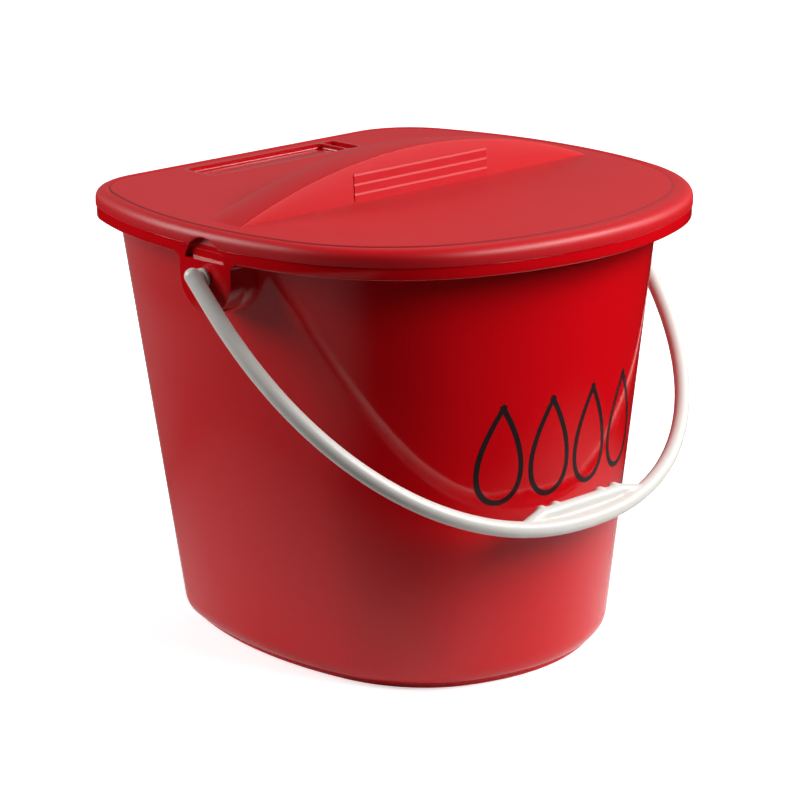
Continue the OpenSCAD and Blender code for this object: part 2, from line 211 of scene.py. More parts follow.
RIM_Z, BAND_Z = 242 * MM, 235.5 * MM
LEDGE_T, BAND_T = 2.5 * MM, 2.5 * MM
LEDGE_IN, BAND_IN = 8 * MM, 0.5 * MM
WALL_IN = 15.5 * MM       # the rim's overhang
TOP_W, TOP_D = HALF_W - WALL_IN, HALF_D - WALL_IN
LOW_W, LOW_D = 98.5 * MM, 106 * MM
TOP_BACK, LOW_BACK = 4.5 * MM, 2.5 * MM
WALL_T, FLOOR_T, LIP, FILLET = 2.5 * MM, 3 * MM, 0.6 * MM, 2.2 * MM
BASE_TOP, FOOT_H, FOOT_IN, FOOT_T, FOOT_EDGE = 14 * MM, 3 * MM, 6.5 * MM, 4 * MM, 0.5 * MM
FLOOR_RINGS = (40 * MM, 70 * MM)
OUT_STEPS, IN_STEPS = 9, 6
ROUND_H = BASE_TOP - FOOT_H
ledge_z = RIM_Z - LEDGE_T
floor_z = FOOT_H + FLOOR_T


def wall_size(inset, z):
    """Half width, half depth and middle of the wall at a height, drawn in by a distance."""
    share = z / BAND_Z
    return (LOW_W + (TOP_W - LOW_W) * share - inset, LOW_D + (TOP_D - LOW_D) * share - inset,
            LOW_BACK + (TOP_BACK - LOW_BACK) * share)


def wall_ring(now, inset, z):
    """Extrudes the wall's ring to another height and inset, and returns its new size."""
    w0, d0, back0, z0 = now
    w, d, back = wall_size(inset, z)
    extrude(0, back - back0, z - z0)
    bpy.ops.transform.resize(value=(w / w0, d / d0, 1), center_override=(0, back, z))
    return w, d, back, z


def wall_chain(z):
    """Adds the right half of the wall's outline at a height to the piece in edit mode."""
    bpy.ops.mesh.select_mode(type="VERT")
    add_point((0, TOP_D, z))
    along_outline(z)
    bpy.ops.mesh.select_linked()
    w, d, back = wall_size(0, z)
    bpy.ops.transform.translate(value=(0, back, 0))
    bpy.ops.transform.resize(value=(w / TOP_W, d / TOP_D, 1), center_override=(0, back, z))
    return w, d, back, z


def close_middle(now):
    """Closes a level floor by drawing its last ring in to a short line along the mirror line."""
    extrude(0, 0, 0)
    bpy.ops.transform.resize(value=(0, 0.4, 1), center_override=(0, now[2], now[3]))


def profile(points):
    """Draws a section at the middle of the flat back. Each point is (inset, z, rounding)."""
    for (inset0, z0, _), (inset1, z1, _) in zip(points, points[1:]):
        extrude(0, inset0 - inset1, z1 - z0)
    for inset, z, rounding in points:
        if rounding:
            pick(lambda v: abs(v.co.y - HALF_D + inset) < NEAR and abs(v.co.z - z) < NEAR)
            bpy.ops.mesh.bevel(offset=rounding, segments=4, affect="VERTICES")
    bpy.ops.mesh.select_all(action="SELECT")


def open_edges(z):
    """Selects the unjoined edge chains at a height, but not the ends on the mirror line."""
    pick(lambda e: len(e.link_faces) < 2 and all(abs(v.co.z - z) < NEAR for v in e.verts)
         and max(abs(v.co.x) for v in e.verts) > NEAR, "EDGE")


# The rolled rim: a flat ledge with a turned-down band
bucket = start_piece("bucket_shell", (0, HALF_D - LEDGE_IN, RIM_Z))
profile([(LEDGE_IN, RIM_Z, 0), (BAND_IN, RIM_Z, 0.25 * MM), (BAND_IN, BAND_Z, 0.9 * MM),
         (BAND_IN + BAND_T, BAND_Z, 0.9 * MM), (BAND_IN + BAND_T, ledge_z, 1 * MM),
         (LEDGE_IN, ledge_z, 0)])
along_outline(RIM_Z)
# The outside of the wall, the base and the foot ring, from the ledge down
ring = wall_chain(ledge_z)
for k in range(7):
    ring = wall_ring(ring, 0, (200 - 31 * k) * MM)
for k in range(OUT_STEPS):
    a = math.radians(90 * (k + 1) / OUT_STEPS)
    ring = wall_ring(ring, FOOT_IN * (1 - math.cos(a)), BASE_TOP - ROUND_H * math.sin(a))
for inset, z in [(FOOT_IN, FOOT_EDGE), (FOOT_IN + FOOT_EDGE, 0),
                 (FOOT_IN + FOOT_T - FOOT_EDGE, 0), (FOOT_IN + FOOT_T, FOOT_EDGE),
                 (FOOT_IN + FOOT_T, FOOT_H)] + [(inset, FOOT_H) for inset in FLOOR_RINGS]:
    ring = wall_ring(ring, inset, z)
close_middle(ring)
open_edges(ledge_z)
bpy.ops.mesh.bridge_edge_loops()
# A fillet where the wall meets the ledge
pick(lambda e: all(abs(v.co.z - ledge_z) < NEAR for v in e.verts) and len(e.link_faces) == 2
     and min(v.co.z for f in e.link_faces for v in f.verts) < 210 * MM, "EDGE")
bpy.ops.mesh.bevel(offset=FILLET, segments=4, affect="EDGES")
# The inside of the wall, from the ledge's top down to the floor
ring = wall_chain(RIM_Z)
open_edges(RIM_Z)
bpy.ops.mesh.bridge_edge_loops()
open_edges(RIM_Z)
for inset, z in ((WALL_T - LIP, RIM_Z), (WALL_T, RIM_Z - LIP), (WALL_T, BASE_TOP)):
    ring = wall_ring(ring, inset, z)
for k in range(IN_STEPS):
    a = math.radians(90 * (k + 1) / IN_STEPS)
    ring = wall_ring(ring, WALL_T + FOOT_IN * (1 - math.cos(a)),
                     BASE_TOP - (BASE_TOP - floor_z) * math.sin(a))
for inset in FLOOR_RINGS:
    ring = wall_ring(ring, inset, floor_z)
close_middle(ring)
close_up(bucket)

# Polypropylene from a polished mould: a clear gloss, whose reflections waver a little in hollows
# about 7 mm across and 0.012 mm deep
bucket_red = skin(material("moulded_gloss_polypropylene", "#ca0410", 0.1, IOR=1.49),
                  7 * MM, 0.012 * MM, (0.07, 0.12))
coat(bucket, bucket_red)
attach(bucket, "bucket")
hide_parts("foot_ring", "bucket_base", "bucket_wall", "rim_ledge", "rim_band")


# ---- Lid, the flat, the rounded margin and the skirt ----
# One moulding in red polypropylene with a satin top. A fine groove divides the flat from the
# rounded margin, and the skirt rests on the rim's ledge.
LID_TOP, GROOVE_Z, LID_UNDER, SKIRT_Z = 251 * MM, 250.1 * MM, 248.2 * MM, 242.08 * MM
FLAT_Z = LID_TOP - 0.3 * MM
FLAT_IN, GROOVE_IN, GROOVE_W = 14 * MM, 7.4 * MM, 1 * MM
MARGIN_W, MARGIN_Z, MARGIN_H, SKIRT_T = 5.2 * MM, 246 * MM, 4.9 * MM, 2.5 * MM
LID_ANGLE = 24
lid = start_piece("lid_shell", (0, HALF_D - FLAT_IN, FLAT_Z))
flat = [(FLAT_IN, FLAT_Z, 0), (GROOVE_IN + GROOVE_W, FLAT_Z, 0), (GROOVE_IN, GROOVE_Z, 0),
        (MARGIN_W, MARGIN_Z + MARGIN_H, 0)]
margin = [(MARGIN_W * (1 - math.sin(a)), MARGIN_Z + MARGIN_H * math.cos(a), 0)
          for a in (math.radians(18 * k) for k in range(1, 6))]
skirt = [(0, SKIRT_Z, 0.25 * MM), (SKIRT_T, SKIRT_Z, 0.5 * MM), (SKIRT_T, MARGIN_Z, 0)]
underside = [(7 * MM, LID_UNDER, 1 * MM), (FLAT_IN, LID_UNDER, 0)]
profile(flat + margin + skirt + underside)
along_outline(FLAT_Z)
# The groove lies further in from the rim round the front
pick(lambda v: min(abs(v.co.z - FLAT_Z), abs(v.co.z - GROOVE_Z)) < NEAR and v.co.y < side_y)
bpy.ops.transform.resize(value=(1, 0.958, 1), center_override=(0, side_y, FLAT_Z))
close_up(lid, LID_ANGLE)
bpy.ops.object.mode_set(mode="EDIT")
for z in (FLAT_Z, LID_UNDER):
    open_edges(z)
    bpy.ops.mesh.edge_face_add()
bpy.ops.mesh.select_all(action="SELECT")
bpy.ops.mesh.normals_make_consistent(inside=False)
bpy.ops.object.mode_set(mode="OBJECT")
bpy.ops.object.shade_smooth_by_angle(angle=math.radians(LID_ANGLE))

# Polypropylene from a spark-eroded mould: a satin that spreads the light. Its grain of about
# 0.1 mm is too fine to show, so it is drawn 0.7 mm wide.
lid_red = skin(material("moulded_satin_polypropylene", "#c60714", 0.38, IOR=1.49),
               0.7 * MM, 0.006 * MM, (0.4, 0.46))
coat(lid, lid_red)
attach(lid, "lid")
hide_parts("lid_skirt", "lid_panel")


# ---- Locating rib ----
# A low wall moulded below the lid, which keeps the lid in place in the bucket's mouth. It keeps
# its CAD shape and has the lid's satin.
rib = bpy.data.objects["locating_rib"]
coat(rib, lid_red)


# ---- Arches in the rim, above the pins ----
# The lid's skirt and the rim's band are both moulded with a half-round arch over each pin, which
# lets the bow pass. A set-back wall in the lid closes the arch's upper part.
PIN_Y, PIN_Z = 4.5 * MM, 225.5 * MM
ARCH_Z, ARCH_R, ARCH_DEPTH = 232 * MM, 14.5 * MM, 3 * MM
FACE_X, OUTSIDE = HALF_W - BAND_IN, HALF_W + 3 * MM
BACK_T, BACK_W, BACK_H, BACK_Z, BACK_LEAN = 4 * MM, 36 * MM, 5.4 * MM, 244.8 * MM, 1.2 * MM
arch_back = FACE_X - ARCH_DEPTH


def drum(side, radius, x0, x1, z, steps=72):
    """A cylinder beside the middle of the bucket, along X between two distances from it."""
    bpy.ops.mesh.primitive_cylinder_add(vertices=steps, radius=radius, depth=x1 - x0,
                                        rotation=(0, math.pi / 2, 0),
                                        location=(side * (x0 + x1) / 2, PIN_Y, z))
    bpy.ops.object.transform_apply(location=True, rotation=True)
    return bpy.context.object


def combine(piece, other, operation="DIFFERENCE"):
    """Cuts a piece by another or joins it to it. The other is used up."""
    modify(piece, "BOOLEAN", object=other, operation=operation, solver="EXACT")
    bpy.data.objects.remove(other)


def soften(test, size):
    """Rounds the edges of the active piece that pass the test."""
    bpy.ops.object.mode_set(mode="EDIT")
    pick(test, "EDGE")
    bpy.ops.mesh.bevel(offset=size, segments=2, affect="EDGES")
    bpy.ops.object.mode_set(mode="OBJECT")
    bpy.ops.object.shade_smooth_by_angle(angle=math.radians(32))


def on_arch(edge):
    """Whether an edge is a sharp one on an arch's curve, near the outside."""
    return edge.is_manifold and edge.calc_face_angle() > 0.7 and all(
        abs(v.co.x) > FACE_X - 2 * MM
        and abs(math.hypot(v.co.y - PIN_Y, v.co.z - ARCH_Z) - ARCH_R) < 0.03 * MM
        for v in edge.verts)


for side in (-1, 1):
    bpy.ops.mesh.primitive_cube_add(size=1, scale=(BACK_T, BACK_W, BACK_H),
                                    location=(side * (arch_back - BACK_T / 2), PIN_Y, BACK_Z))
    back_wall = bpy.context.object
    bpy.ops.object.transform_apply(location=True, scale=True)
    bpy.ops.object.mode_set(mode="EDIT")
    pick(lambda v: v.co.z > BACK_Z and abs(v.co.x) > arch_back - BACK_T / 2)
    bpy.ops.transform.translate(value=(-side * BACK_LEAN, 0, 0))
    bpy.ops.object.mode_set(mode="OBJECT")
    combine(lid, back_wall, "UNION")
for piece in (bucket, lid):
    for side in (-1, 1):
        combine(piece, drum(side, ARCH_R, arch_back, OUTSIDE, ARCH_Z))
    soften(on_arch, 0.45 * MM)


# ---- Ears ----
# Two round-bottomed bosses moulded on the wall below the arches, flush with the band. Each has a
# bore for the handle's pin and a level shelf across its arch.
EAR_R, EAR_TOP, EAR_INNER_TOP, EAR_FLARE = 18.5 * MM, 235.5 * MM, 239 * MM, 4 * MM
EAR_BACK = 0.02 * MM      # the face lies this far behind the band's, so that the two don't coincide
SHELF_Z, SHELF_GAP = 234.5 * MM, 0.1 * MM
BORE_R, BORE_END = 4.08 * MM, 138.5 * MM
ear_x = FACE_X - EAR_BACK
face_r = SIDE_R - BAND_IN - EAR_BACK
flare_z = EAR_TOP - EAR_FLARE
ear = start_piece("right_boss", (ear_x, PIN_Y - EAR_R - EAR_FLARE, EAR_INNER_TOP))
# Its outline, from the band in front, round below the pin and up again
extrude(0, 0, EAR_TOP - EAR_INNER_TOP)
bpy.ops.mesh.spin(steps=6, angle=math.pi / 2, center=(ear_x, PIN_Y - EAR_R - EAR_FLARE, flare_z),
                  axis=(1, 0, 0))
extrude(0, 0, PIN_Z - flare_z)
bpy.ops.mesh.spin(steps=40, angle=-math.pi, center=(ear_x, PIN_Y, PIN_Z), axis=(1, 0, 0))
extrude(0, 0, flare_z - PIN_Z)
bpy.ops.mesh.spin(steps=6, angle=math.pi / 2, center=(ear_x, PIN_Y + EAR_R + EAR_FLARE, flare_z),
                  axis=(1, 0, 0))
extrude(0, 0, EAR_INNER_TOP - EAR_TOP)
bpy.ops.mesh.select_all(action="SELECT")
bpy.ops.mesh.edge_face_add()
# Drawn in to the wall, with a root that flares where it meets the wall
for step, flare in ((0.8, 1.025), (10.2, 1.02), (1.5, 1.02), (1, 1.03), (7.5, 1.02)):
    extrude(-step * MM, 0, 0)
    bpy.ops.transform.resize(value=(1, flare, flare), center_override=(0, PIN_Y, PIN_Z))
close_up(ear, 32, mirrored=False)
# Its face follows the band's curve
bpy.ops.mesh.primitive_cylinder_add(vertices=900, radius=face_r, depth=120 * MM,
                                    location=(side_x, side_y, PIN_Z))
curve = bpy.context.object
bpy.ops.object.transform_apply(location=True)
combine(ear, curve, "INTERSECT")
# The arch ends on a level shelf in front of a set-back wall
bench = drum(1, ARCH_R, arch_back + SHELF_GAP, OUTSIDE, ARCH_Z)
bpy.ops.object.mode_set(mode="EDIT")
bpy.ops.mesh.select_all(action="SELECT")
bpy.ops.mesh.bisect(plane_co=(FACE_X, 0, SHELF_Z), plane_no=(0, 0, 1), clear_inner=True,
                    use_fill=True)
bpy.ops.object.mode_set(mode="OBJECT")
combine(ear, bench)
combine(ear, drum(1, BORE_R, BORE_END, OUTSIDE, PIN_Z, 48))
# The edges of the face are rounded, but the shelf's is crisp
soften(lambda e: e.is_manifold and e.calc_face_angle() > 0.6
       and e.verts[0].co.z < SHELF_Z - 0.5 * MM
       and all(math.hypot(v.co.x - side_x, v.co.y - side_y) > face_r - 0.04 * MM
               for v in e.verts), 0.3 * MM)

bpy.ops.object.select_all(action="DESELECT")
ear.select_set(True)
bpy.ops.object.duplicate(linked=False)
twin = bpy.context.object
twin.name = "left_boss"
bpy.ops.transform.resize(value=(-1, 1, 1), center_override=(0, 0, 0))
bpy.ops.object.transform_apply(scale=True)
bpy.ops.object.mode_set(mode="EDIT")
bpy.ops.mesh.select_all(action="SELECT")
bpy.ops.mesh.normals_make_consistent(inside=False)
bpy.ops.object.mode_set(mode="OBJECT")
for boss, node in ((ear, "right_ear"), (twin, "left_ear")):
    coat(boss, bucket_red)
    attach(boss, "bucket")
    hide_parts(node)


# ---- Pocket in the lid ----
# A shallow pocket along the flat back with a deeper one at its right end, both moulded into the
# lid. A thin web parts the two.
POCKET_X0, POCKET_X1, DEEP_X0, DEEP_X1 = -56.75 * MM, 46.25 * MM, 47.75 * MM, 56.75 * MM
POCKET_Y0, POCKET_Y1 = HALF_D - 37 * MM, HALF_D - 14 * MM
TRAY_EDGE, TRAY_CORNER, TRAY_Z = 2 * MM, 6 * MM, 242.5 * MM
HOLE_Z0, HOLE_Z1 = 246.5 * MM, 252 * MM


def plate(name, x0, x1, y0, y1, z0, z1, corner):
    """A block with rounded upright edges."""
    bpy.ops.mesh.primitive_cube_add(size=1, scale=(x1 - x0, y1 - y0, z1 - z0),
                                    location=((x0 + x1) / 2, (y0 + y1) / 2, (z0 + z1) / 2))
    bpy.ops.object.transform_apply(location=True, scale=True)
    bpy.context.object.name = name
    bpy.ops.object.mode_set(mode="EDIT")
    pick(lambda e: abs(e.verts[0].co.z - e.verts[1].co.z) > 0.5 * (z1 - z0), "EDGE")
    bpy.ops.mesh.bevel(offset=corner, segments=6, affect="EDGES")
    bpy.ops.object.mode_set(mode="OBJECT")
    return bpy.context.object


tray_box = (POCKET_X0 - TRAY_EDGE, DEEP_X1 + TRAY_EDGE,
            POCKET_Y0 - TRAY_EDGE, POCKET_Y1 + TRAY_EDGE)
combine(lid, plate("hole", *tray_box, HOLE_Z0, HOLE_Z1, TRAY_CORNER))
tray = plate("pocket_tray", *tray_box, TRAY_Z, FLAT_Z, TRAY_CORNER)
for x0, x1, deep, corner in ((POCKET_X0, POCKET_X1, 3 * MM, 4 * MM),
                             (DEEP_X0, DEEP_X1, 6 * MM, 3 * MM)):
    tool = plate("tool", x0, x1, POCKET_Y0, POCKET_Y1, FLAT_Z - deep, FLAT_Z + 2 * MM, corner)
    bpy.ops.object.mode_set(mode="EDIT")
    pick(lambda e: all(abs(v.co.z - FLAT_Z + deep) < NEAR for v in e.verts), "EDGE")
    bpy.ops.mesh.bevel(offset=1 * MM, segments=3, affect="EDGES")
    bpy.ops.object.mode_set(mode="OBJECT")
    combine(tray, tool)
bpy.ops.object.shade_smooth_by_angle(angle=math.radians(32))

# Where the mould is polished the lid is glossier; its darker red is painted shade inside the pocket
pocket_painted_shade_red = skin(material("polished_pocket_polypropylene_painted_shade", "#b80512", 0.2, IOR=1.49),
                  0.7 * MM, 0.003 * MM, (0.14, 0.2))
coat(tray, pocket_painted_shade_red)
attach(tray, "lid")
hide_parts("lid_recess")


# ---- Groove round the lid's flat ----
# A fine groove left by the mould round the flat, part of the lid's moulding. It is matt, and its
# darker red is painted shade for the shade in the groove, which gives the eye a thin dark line.
groove_painted_shade_red = skin(material("painted_shade_groove_polypropylene", "#8f0511", 0.6, IOR=1.49),
                  0.7 * MM, 0.006 * MM, (0.6, 0.7))
lid.data.materials.append(groove_painted_shade_red)
bpy.ops.object.select_all(action="DESELECT")
lid.select_set(True)
bpy.context.view_layer.objects.active = lid
lid.active_material_index = 1
bpy.ops.object.mode_set(mode="EDIT")
# The faces that slope down from the flat's edge to the bottom of the groove take the painted shade
pick(lambda f: 0.3 < f.normal.z < 0.95 and min(v.co.z for v in f.verts) > 250 * MM
     and abs(max(v.co.z for v in f.verts) - FLAT_Z) < 0.02 * MM, "FACE")
bpy.ops.object.material_slot_assign()
bpy.ops.object.mode_set(mode="OBJECT")


# ---- Ridge across the lid ----
# A raised finger grip moulded in the lid. Its steep front face stands below an arched crest, and
# its long back bulges and runs out in the flat.
RIDGE_Y, RIDGE_HALF, RIDGE_H, RIDGE_LEAN = -4.5 * MM, 132 * MM, 23.8 * MM, 1.5 * MM
SLOPE_RUN, SLOPE_END, SLOPE_BULGE, SINK = 75 * MM, 24.5 * MM, 2.3, 0.06 * MM
STATIONS, SLOPE_STEPS = 60, 14
crest_r = (RIDGE_HALF ** 2 + RIDGE_H ** 2) / (2 * RIDGE_H)


def ridge_place(x, share):
    """A point on the ridge's back, a share of the way from the crest to the foot."""
    crest = max(0, math.sqrt(crest_r ** 2 - x * x) - crest_r + RIDGE_H)
    front = RIDGE_Y + RIDGE_LEAN * crest / RIDGE_H
    foot = RIDGE_Y + SLOPE_END + (SLOPE_RUN - SLOPE_END) * (1 - abs(x / RIDGE_HALF) ** 1.25) ** 0.85
    return Vector((x, front + (foot - front) * share,
                   FLAT_Z - SINK + crest * (1 - share ** SLOPE_BULGE)))


def draw_line(points):
    """Adds a chain of edges through the points to the piece in edit mode."""
    add_point(points[0])
    for here, there in zip(points, points[1:]):
        extrude(*(there - here))


ridge = start_piece("ridge_shell", (0, 0, 0))
bpy.ops.mesh.delete(type="VERT")
stations = [RIDGE_HALF * math.sin(math.pi * (j / STATIONS - 0.5)) for j in range(STATIONS + 1)]
draw_line([Vector((x, RIDGE_Y, FLAT_Z - SINK)) for x in stations])
for k in range(SLOPE_STEPS + 1):
    draw_line([ridge_place(x, k / SLOPE_STEPS) for x in stations])
bpy.ops.mesh.select_all(action="SELECT")
bpy.ops.mesh.bridge_edge_loops()
# The crest's rounded edge, and a closed underside just below the flat
pick(lambda e: len(e.link_faces) == 2 and all((v.co - ridge_place(v.co.x, 0)).length < NEAR
                                              and abs(v.co.x) < RIDGE_HALF - 1 * MM
                                              for v in e.verts), "EDGE")
bpy.ops.mesh.bevel(offset=0.7 * MM, segments=3, affect="EDGES")
pick(lambda e: len(e.link_faces) == 1, "EDGE")
extrude(0, 0, -0.8 * MM)
bpy.ops.mesh.edge_face_add()
close_up(ridge, 28, mirrored=False)
coat(ridge, lid_red)
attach(ridge, "lid")
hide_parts("lid_ridge")


# ---- Grip panel on the ridge ----
# Three low steps on the ridge's front face, each with a slanted top edge, which stop a thumb from
# slipping. Moulded with the ridge.
PANEL_W, PANEL_H, PANEL_T, STEPS, SLANT = 101 * MM, 15.5 * MM, 0.6 * MM, 3, 1.1 * MM
PANEL_FOOT, PANEL_BACK, STEP_T = 0.3 * MM, 1.2 * MM, 0.5 * PANEL_T
panel = start_piece("grip_steps", (-PANEL_W / 2, RIDGE_Y - 0.4 * PANEL_T, FLAT_Z - PANEL_FOOT))
lean, rise = RIDGE_LEAN / RIDGE_H, PANEL_H / STEPS
for k in range(STEPS):
    extrude(0, (rise - SLANT) * lean - STEP_T, rise - SLANT)
    extrude(0, SLANT * lean + STEP_T, SLANT)
extrude(0, PANEL_BACK, 0)
extrude(0, -PANEL_H * lean, -PANEL_H)
bpy.ops.mesh.select_all(action="SELECT")
bpy.ops.mesh.edge_face_add()
extrude(PANEL_W, 0, 0)
close_up(panel, 10, mirrored=False)
coat(panel, lid_red)
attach(panel, "lid")
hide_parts("ridge_grip_panel")


# ---- Handle ----
# One moulding in white polypropylene. Round rod bent into a squared bow, with a straight finger
# bar inside the middle of the bow and four low bumps on the bar.
ROD_R, BOW_X, BOW_REACH, LEG, BOW_POWER = 4.4 * MM, 155.4 * MM, 188.5 * MM, 14 * MM, 2.2
END_OVER, BOW_STEPS = 2.5 * MM, 96
BAR_R, BAR_IN, BAR_HALF, BAR_STRAIGHT, BAR_DROP = 4 * MM, 10 * MM, 45 * MM, 31 * MM, 4 * MM
BUMP_R, BUMP_SINK, BUMP_SHARES, BUMP_SPAN, WEB_T = 3.6 * MM, 2 * MM, (0.19, 0.31), 92 * MM, 3 * MM
LEAN = math.radians(45.1)


def rod(name, places, radius):
    """A round rod along a line of (x, distance below the pins) places, drawn hanging down."""
    start_piece(name, (places[0][0], PIN_Y, PIN_Z - places[0][1]))
    for (x0, r0), (x1, r1) in zip(places, places[1:]):
        extrude(x1 - x0, 0, r0 - r1)
    bpy.ops.object.mode_set(mode="OBJECT")
    bpy.ops.object.convert(target="CURVE")
    line = bpy.context.object.data
    line.bevel_depth = radius
    line.bevel_resolution = 6
    line.use_fill_caps = True
    bpy.ops.object.convert(target="MESH")
    return bpy.context.object


def ball(x, y, z, radius):
    bpy.ops.mesh.primitive_uv_sphere_add(segments=32, ring_count=20, radius=radius,
                                         location=(x, y, z))
    bpy.ops.object.transform_apply(location=True)
    return bpy.context.object


bow_places = [(-BOW_X, -END_OVER), (-BOW_X, LEG / 2)]
for k in range(BOW_STEPS + 1):
    a = math.pi * k / BOW_STEPS
    c, s = math.cos(a), max(math.sin(a), 0)
    bow_places.append((-BOW_X * math.copysign(abs(c) ** (2 / BOW_POWER), c),
                       LEG + (BOW_REACH - LEG) * s ** (2 / BOW_POWER)))
bow_places += [(BOW_X, LEG / 2), (BOW_X, -END_OVER)]
handle = rod("handle_rod", bow_places, ROD_R)
# The finger bar, whose ends bend down into the bow
bar_r = BOW_REACH - BAR_IN
bar_z = PIN_Z - BOW_REACH + BAR_IN
parts = [rod("bar", [(-BAR_HALF, bar_r + BAR_DROP), (-BAR_STRAIGHT, bar_r),
                     (BAR_STRAIGHT, bar_r), (BAR_HALF, bar_r + BAR_DROP)], BAR_R)]
# Rounded ends on the rod and the bar, and the bumps
for side in (-1, 1):
    parts.append(ball(side * BOW_X, PIN_Y, PIN_Z + END_OVER, ROD_R))
    parts.append(ball(side * BAR_HALF, PIN_Y, bar_z - BAR_DROP, BAR_R))
    for share in BUMP_SHARES:
        parts.append(ball(side * share * BUMP_SPAN, PIN_Y, bar_z + BAR_R - BUMP_SINK, BUMP_R))
# A thin web between the bar and the bow
bpy.ops.mesh.primitive_cube_add(size=1, location=(0, PIN_Y, bar_z - BAR_IN / 2),
                                scale=(1.7 * BAR_HALF, WEB_T, BAR_IN))
bpy.ops.object.transform_apply(location=True, scale=True)
parts.append(bpy.context.object)
bpy.ops.object.select_all(action="DESELECT")
for part in parts + [handle]:
    part.select_set(True)
bpy.context.view_layer.objects.active = handle
bpy.ops.object.join()
# All of it becomes one skin, and its joins are smoothed as in a moulding
modify(handle, "REMESH", mode="VOXEL", voxel_size=0.7 * MM, use_smooth_shade=True)
modify(handle, "SMOOTH", factor=0.5, iterations=6)
bpy.ops.object.mode_set(mode="EDIT")
bpy.ops.mesh.select_all(action="SELECT")
bpy.ops.transform.rotate(value=LEAN, orient_axis="X", center_override=(0, PIN_Y, PIN_Z))
bpy.ops.object.mode_set(mode="OBJECT")

# White polypropylene: a satin with a faint waviness 2 mm across and 0.01 mm high
white = skin(material("moulded_satin_white_polypropylene", "#dfdcd6", 0.3, IOR=1.49),
             2 * MM, 0.01 * MM, (0.26, 0.34))
coat(handle, white)
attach(handle, "handle")
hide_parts("handle_bow", "left_bend", "right_bend", "left_leg", "right_leg", "handle_grip")


# ---- Pins ----
# A round pin on each end of the bow, with a thin collar against the ear. It snaps into the ear's
# bore. Moulded with the handle.
PIN_R, PIN_X0, PIN_X1 = 3.98 * MM, 139 * MM, 154 * MM
COLLAR_R, COLLAR_X0, COLLAR_X1 = 5.4 * MM, 149.8 * MM, 151.2 * MM
for side, node in ((-1, "left_pin"), (1, "right_pin")):
    pin = drum(side, PIN_R, PIN_X0, PIN_X1, PIN_Z, 48)
    combine(pin, drum(side, COLLAR_R, COLLAR_X0, COLLAR_X1, PIN_Z, 48), "UNION")
    pin.name = node + "_shaft"
    bpy.ops.object.shade_smooth_by_angle(angle=math.radians(32))
    coat(pin, white)
    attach(pin, "handle")
    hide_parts(node)


# ---- Print on the front ----
# A row of four outlined water drops, screen printed in black ink straight on the wall's front.
# The film of ink is drawn 0.05 mm thick, just off the wall.
DROPS, DROP_W, DROP_H, DROP_Z = (-44 * MM, -12 * MM, 20 * MM, 52 * MM), 30 * MM, 56 * MM, 132 * MM
STROKE, DROP_STEPS, AHEAD = 3 * MM, 72, -0.3
drops = start_piece("front_print", (0, 0, 0))
bpy.ops.mesh.delete(type="VERT")
for x in DROPS:
    turns = [2 * math.pi * k / DROP_STEPS for k in range(DROP_STEPS + 1)]
    draw_line([Vector((x + DROP_W * 0.62 * math.sin(a) * math.sin(a / 2), AHEAD,
                       DROP_Z + DROP_H / 2 * math.cos(a))) for a in turns])
bpy.ops.mesh.select_all(action="SELECT")
bpy.ops.mesh.remove_doubles(threshold=NEAR)
bpy.ops.mesh.edge_face_add()
bpy.ops.mesh.inset(thickness=STROKE)
bpy.ops.mesh.delete(type="FACE")
bpy.ops.object.mode_set(mode="OBJECT")
modify(drops, "SHRINKWRAP", target=bucket, wrap_method="PROJECT", use_project_y=True,
       use_positive_direction=True, use_negative_direction=False, offset=0.06 * MM)
modify(drops, "SOLIDIFY", thickness=0.05 * MM, offset=0)
close_up(drops, 32, mirrored=False)

# Screen ink: a nearly black film with the shallow unevenness of the mesh it was pressed through
ink = skin(material("screen_printed_black_ink", "#1a0c0d", 0.3, IOR=1.5),
           1 * MM, 0.004 * MM, (0.25, 0.4))
coat(drops, ink)
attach(drops, "bucket")


# ---- Floor ----
# A white card below the bucket. Seen in the bucket's gloss, it fades out round the bucket, but
# less so on the left, and it bounces little light up on the wall.
AWAY, LEFT = (0.706, 0.708, 0), (-0.708, 0.706, 0)      # level directions as the camera sees them
BOUNCE = 0.1
bpy.ops.mesh.primitive_plane_add(size=12, location=(0, 0, 0))
floor = bpy.context.object
floor.name = "card_floor"
card = material("matt_white_card", "#f4f4f4", 0.9, Specular_IOR_Level=0.0)
path = add_node(card, "ShaderNodeLightPath", {}, {})
place = add_node(card, "ShaderNodeTexCoord", {}, {})
# White in an oval round the bucket, which is longer from left to right as the camera sees it
oval = add_node(card, "ShaderNodeMapping", {"vector_type": "TEXTURE", "Scale": (1.7, 1, 1),
                                            "Rotation": (0, 0, -math.pi / 4)},
                {"Vector": place.outputs["Object"]})
oval_far = add_node(card, "ShaderNodeVectorMath", {"operation": "LENGTH"},
                    {0: oval.outputs["Vector"]})
near_part = add_node(card, "ShaderNodeMapRange",
                     {"interpolation_type": "SMOOTHSTEP", "From Min": 0.06, "From Max": 0.32,
                      "To Min": 1.0, "To Max": 0.0}, {"Value": oval_far.outputs["Value"]})
